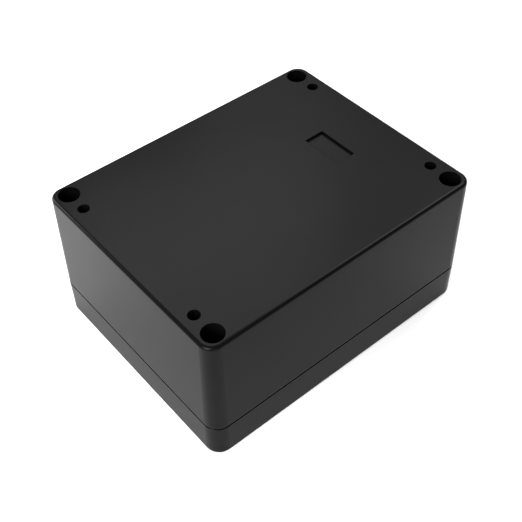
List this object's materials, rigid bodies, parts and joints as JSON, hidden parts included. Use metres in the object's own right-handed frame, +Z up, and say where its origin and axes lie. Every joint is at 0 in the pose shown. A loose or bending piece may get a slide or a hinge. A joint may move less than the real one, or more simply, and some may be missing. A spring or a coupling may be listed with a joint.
{
  "type": "plastic project box",
  "caption": "Sealed rectangular plastic enclosure for electronics: deep base and shallow screwed lid with a gasket; lies on its lid with the mounting holes up.",
  "frame": {"origin": "centre of the lid's outer face, which the box lies on", "axes": "+X along the box's length, towards the end with the shallow recess; +Y across it; +Z up, out of the base's outer bottom"},
  "size_m": [0.115, 0.09, 0.055],
  "materials": {
    "abs_base": "satin moulded black ABS",
    "abs_lid": "fine spark-eroded black ABS",
    "gasket_rubber": "soft black neoprene",
    "screw_steel": "bright stainless steel",
    "insert_brass": "turned and knurled brass"
  },
  "bodies": {
    "lid": {"lid": "abs_lid", "gasket": "gasket_rubber"},
    "base": {"base": "abs_base", "insert_1": "insert_brass", "insert_2": "insert_brass", "insert_3": "insert_brass", "insert_4": "insert_brass"},
    "screw_1": {"screw_1": "screw_steel"},
    "screw_2": {"screw_2": "screw_steel"},
    "screw_3": {"screw_3": "screw_steel"},
    "screw_4": {"screw_4": "screw_steel"}
  },
  "joints": [
    {"name": "base_lift", "type": "slide", "parent": "lid", "child": "base", "axis": [0, 0, 1], "range_m": [0, 0.08]},
    {"name": "screw_1_undo", "type": "slide", "parent": "lid", "child": "screw_1", "axis": [0, 0, -1], "range_m": [0, 0.005]},
    {"name": "screw_2_undo", "type": "slide", "parent": "lid", "child": "screw_2", "axis": [0, 0, -1], "range_m": [0, 0.005]},
    {"name": "screw_3_undo", "type": "slide", "parent": "lid", "child": "screw_3", "axis": [0, 0, -1], "range_m": [0, 0.005]},
    {"name": "screw_4_undo", "type": "slide", "parent": "lid", "child": "screw_4", "axis": [0, 0, -1], "range_m": [0, 0.005]}
  ]
}
